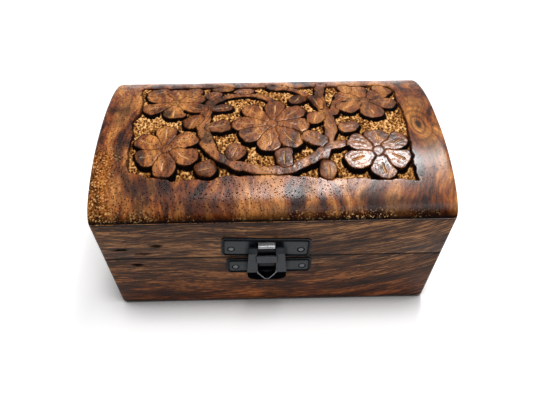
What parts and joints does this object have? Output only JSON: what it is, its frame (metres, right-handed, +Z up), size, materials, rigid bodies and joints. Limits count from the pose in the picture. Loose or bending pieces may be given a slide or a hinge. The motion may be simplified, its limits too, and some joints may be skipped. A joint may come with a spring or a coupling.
{
  "type": "keepsake box",
  "caption": "Small flared wooden keepsake box with a domed lid carved in sunk relief with flowers, a sprung metal front clasp and back hinges.",
  "frame": {"origin": "middle of the flat underside", "axes": "+X along the length, clasp facing -Y, +Z up"},
  "size_m": [0.152, 0.1078, 0.073],
  "materials": {
    "case_wood": "stained and waxed, open grain",
    "carved_wood": "stained, scorched in the carving, waxed to a soft gloss",
    "black_steel": "stamped sheet steel, gloss black"
  },
  "bodies": {
    "box": {"bottom_panel": "case_wood", "body_front_board": "case_wood", "body_back_board": "case_wood", "body_left_board": "case_wood", "body_right_board": "case_wood", "clasp_base_plate": "black_steel", "clasp_base_nails": "black_steel", "clasp_pivot_pin": "black_steel", "clasp_spring": "black_steel", "left_hinge_body_leaf": "black_steel", "left_hinge_pin": "black_steel", "left_hinge_body_nails": "black_steel", "right_hinge_body_leaf": "black_steel", "right_hinge_pin": "black_steel", "right_hinge_body_nails": "black_steel"},
    "lid": {"lid_front_rail": "case_wood", "lid_back_rail": "case_wood", "lid_left_rail": "case_wood", "lid_right_rail": "case_wood", "lid_dome_top": "carved_wood", "clasp_hook_plate": "black_steel", "clasp_hook_nails": "black_steel", "left_hinge_lid_leaf": "black_steel", "left_hinge_lid_nails": "black_steel", "right_hinge_lid_leaf": "black_steel", "right_hinge_lid_nails": "black_steel"},
    "lever": {"clasp_lever": "black_steel"}
  },
  "joints": [
    {"name": "lid_hinge", "type": "hinge", "parent": "box", "child": "lid", "pos_m": [0, 0.05083, 0.03334], "axis": [-1, 0, 0], "range_deg": [0, 105]},
    {"name": "lever_press", "type": "hinge", "parent": "box", "child": "lever", "pos_m": [-0.002, -0.05027, 0.02586], "axis": [1, 0, 0], "range_deg": [0, 14], "stiffness_Nm_per_rad": 0.03, "springref_deg": -11.46, "deforming": ["clasp_spring"]}
  ]
}
